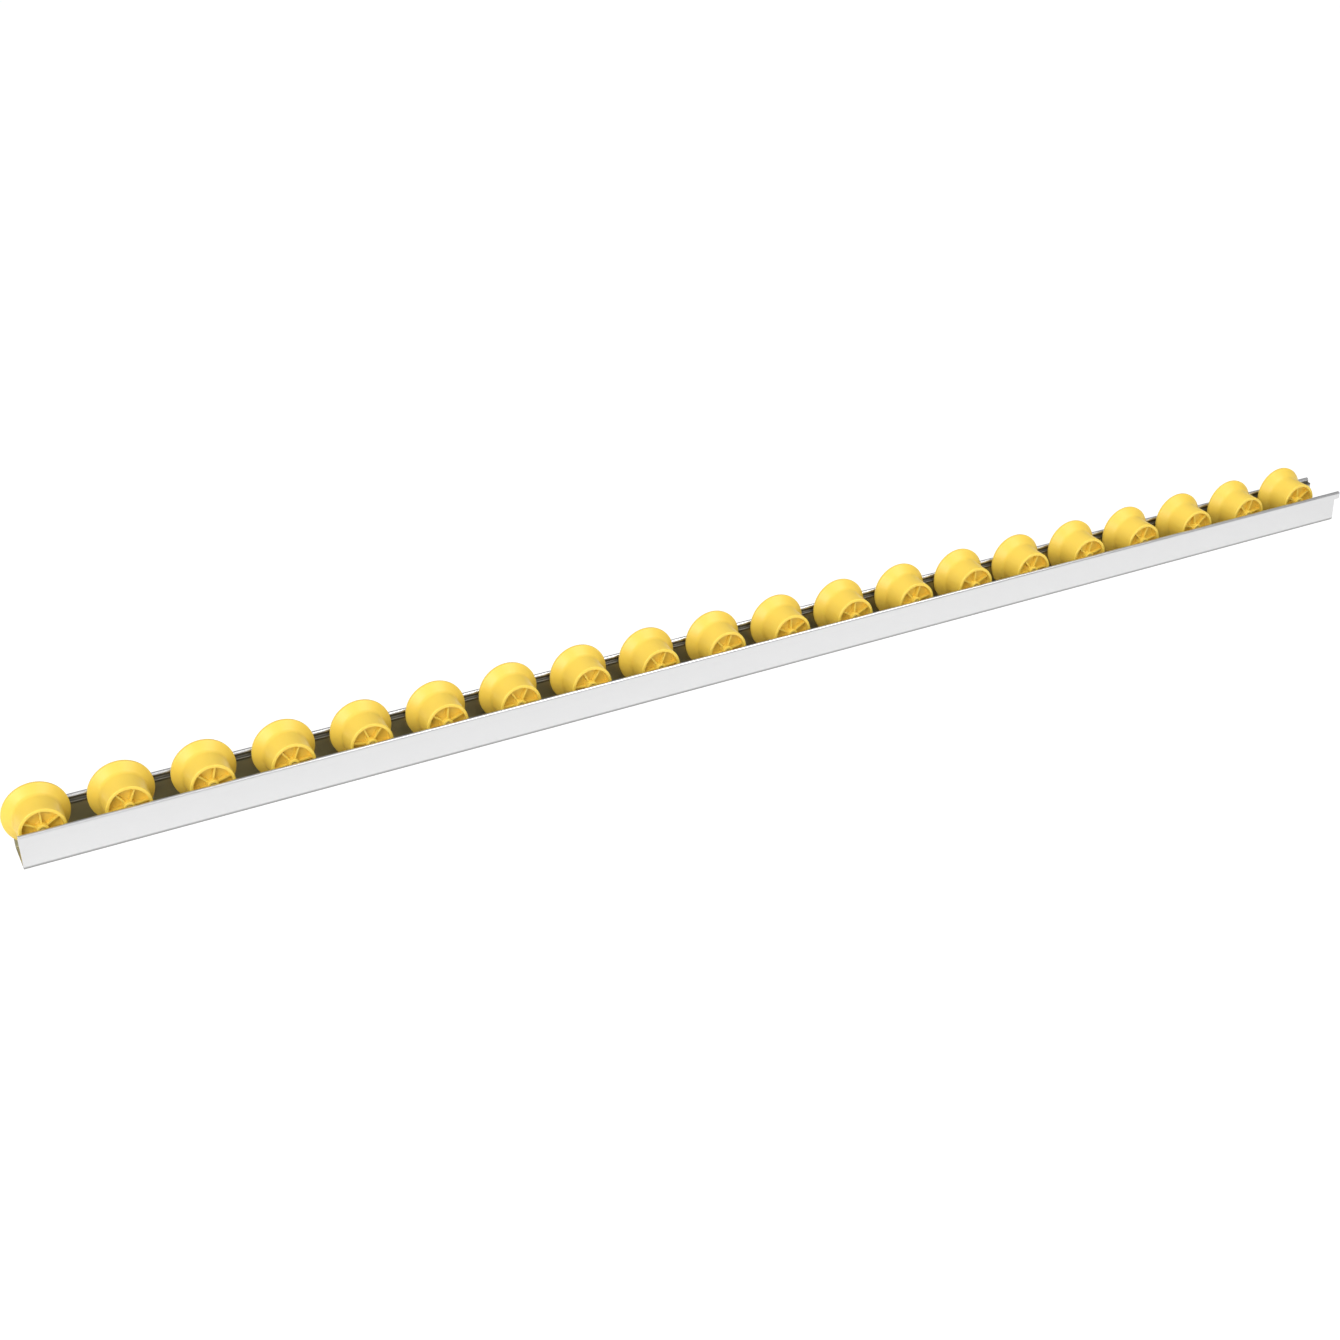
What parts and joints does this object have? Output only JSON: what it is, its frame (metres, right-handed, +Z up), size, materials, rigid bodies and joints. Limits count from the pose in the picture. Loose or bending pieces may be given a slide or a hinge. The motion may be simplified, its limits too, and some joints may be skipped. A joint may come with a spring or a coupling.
{
  "type": "flow rack roller track",
  "caption": "Gravity roller track: flanged plastic rollers turning freely on steel axles in a bent, hemmed U-section rail of galvanised sheet.",
  "frame": {"origin": "centre of the underside of the rail's base, midway between its ends", "axes": "+X along the track towards the end with the longer bare stretch of rail, +Y across the track towards the flanges, +Z up"},
  "size_m": [1.005, 0.037, 0.0417],
  "materials": {
    "galvanised_steel": "zinc-coated sheet, satin",
    "axle_steel": "bright drawn",
    "yellow_plastic": "moulded, soft sheen"
  },
  "bodies": {
    "track": {"rail": "galvanised_steel", "axle_01": "axle_steel", "axle_02": "axle_steel", "axle_03": "axle_steel", "axle_04": "axle_steel", "axle_05": "axle_steel", "axle_06": "axle_steel", "axle_07": "axle_steel", "axle_08": "axle_steel", "axle_09": "axle_steel", "axle_10": "axle_steel", "axle_11": "axle_steel", "axle_12": "axle_steel", "axle_13": "axle_steel", "axle_14": "axle_steel", "axle_15": "axle_steel", "axle_16": "axle_steel", "axle_17": "axle_steel", "axle_18": "axle_steel", "axle_19": "axle_steel", "axle_20": "axle_steel"},
    "wheel_01": {"roller_01": "yellow_plastic"},
    "wheel_02": {"roller_02": "yellow_plastic"},
    "wheel_03": {"roller_03": "yellow_plastic"},
    "wheel_04": {"roller_04": "yellow_plastic"},
    "wheel_05": {"roller_05": "yellow_plastic"},
    "wheel_06": {"roller_06": "yellow_plastic"},
    "wheel_07": {"roller_07": "yellow_plastic"},
    "wheel_08": {"roller_08": "yellow_plastic"},
    "wheel_09": {"roller_09": "yellow_plastic"},
    "wheel_10": {"roller_10": "yellow_plastic"},
    "wheel_11": {"roller_11": "yellow_plastic"},
    "wheel_12": {"roller_12": "yellow_plastic"},
    "wheel_13": {"roller_13": "yellow_plastic"},
    "wheel_14": {"roller_14": "yellow_plastic"},
    "wheel_15": {"roller_15": "yellow_plastic"},
    "wheel_16": {"roller_16": "yellow_plastic"},
    "wheel_17": {"roller_17": "yellow_plastic"},
    "wheel_18": {"roller_18": "yellow_plastic"},
    "wheel_19": {"roller_19": "yellow_plastic"},
    "wheel_20": {"roller_20": "yellow_plastic"}
  },
  "joints": [
    {"name": "wheel_01_spin", "type": "hinge", "parent": "track", "child": "wheel_01", "pos_m": [-0.485, 0, 0.0217], "axis": [0, 1, 0], "continuous": true},
    {"name": "wheel_02_spin", "type": "hinge", "parent": "track", "child": "wheel_02", "pos_m": [-0.435, 0, 0.0217], "axis": [0, 1, 0], "continuous": true},
    {"name": "wheel_03_spin", "type": "hinge", "parent": "track", "child": "wheel_03", "pos_m": [-0.385, 0, 0.0217], "axis": [0, 1, 0], "continuous": true},
    {"name": "wheel_04_spin", "type": "hinge", "parent": "track", "child": "wheel_04", "pos_m": [-0.335, 0, 0.0217], "axis": [0, 1, 0], "continuous": true},
    {"name": "wheel_05_spin", "type": "hinge", "parent": "track", "child": "wheel_05", "pos_m": [-0.285, 0, 0.0217], "axis": [0, 1, 0], "continuous": true},
    {"name": "wheel_06_spin", "type": "hinge", "parent": "track", "child": "wheel_06", "pos_m": [-0.235, 0, 0.0217], "axis": [0, 1, 0], "continuous": true},
    {"name": "wheel_07_spin", "type": "hinge", "parent": "track", "child": "wheel_07", "pos_m": [-0.185, 0, 0.0217], "axis": [0, 1, 0], "continuous": true},
    {"name": "wheel_08_spin", "type": "hinge", "parent": "track", "child": "wheel_08", "pos_m": [-0.135, 0, 0.0217], "axis": [0, 1, 0], "continuous": true},
    {"name": "wheel_09_spin", "type": "hinge", "parent": "track", "child": "wheel_09", "pos_m": [-0.085, 0, 0.0217], "axis": [0, 1, 0], "continuous": true},
    {"name": "wheel_10_spin", "type": "hinge", "parent": "track", "child": "wheel_10", "pos_m": [-0.035, 0, 0.0217], "axis": [0, 1, 0], "continuous": true},
    {"name": "wheel_11_spin", "type": "hinge", "parent": "track", "child": "wheel_11", "pos_m": [0.015, 0, 0.0217], "axis": [0, 1, 0], "continuous": true},
    {"name": "wheel_12_spin", "type": "hinge", "parent": "track", "child": "wheel_12", "pos_m": [0.065, 0, 0.0217], "axis": [0, 1, 0], "continuous": true},
    {"name": "wheel_13_spin", "type": "hinge", "parent": "track", "child": "wheel_13", "pos_m": [0.115, 0, 0.0217], "axis": [0, 1, 0], "continuous": true},
    {"name": "wheel_14_spin", "type": "hinge", "parent": "track", "child": "wheel_14", "pos_m": [0.165, 0, 0.0217], "axis": [0, 1, 0], "continuous": true},
    {"name": "wheel_15_spin", "type": "hinge", "parent": "track", "child": "wheel_15", "pos_m": [0.215, 0, 0.0217], "axis": [0, 1, 0], "continuous": true},
    {"name": "wheel_16_spin", "type": "hinge", "parent": "track", "child": "wheel_16", "pos_m": [0.265, 0, 0.0217], "axis": [0, 1, 0], "continuous": true},
    {"name": "wheel_17_spin", "type": "hinge", "parent": "track", "child": "wheel_17", "pos_m": [0.315, 0, 0.0217], "axis": [0, 1, 0], "continuous": true},
    {"name": "wheel_18_spin", "type": "hinge", "parent": "track", "child": "wheel_18", "pos_m": [0.365, 0, 0.0217], "axis": [0, 1, 0], "continuous": true},
    {"name": "wheel_19_spin", "type": "hinge", "parent": "track", "child": "wheel_19", "pos_m": [0.415, 0, 0.0217], "axis": [0, 1, 0], "continuous": true},
    {"name": "wheel_20_spin", "type": "hinge", "parent": "track", "child": "wheel_20", "pos_m": [0.465, 0, 0.0217], "axis": [0, 1, 0], "continuous": true}
  ]
}
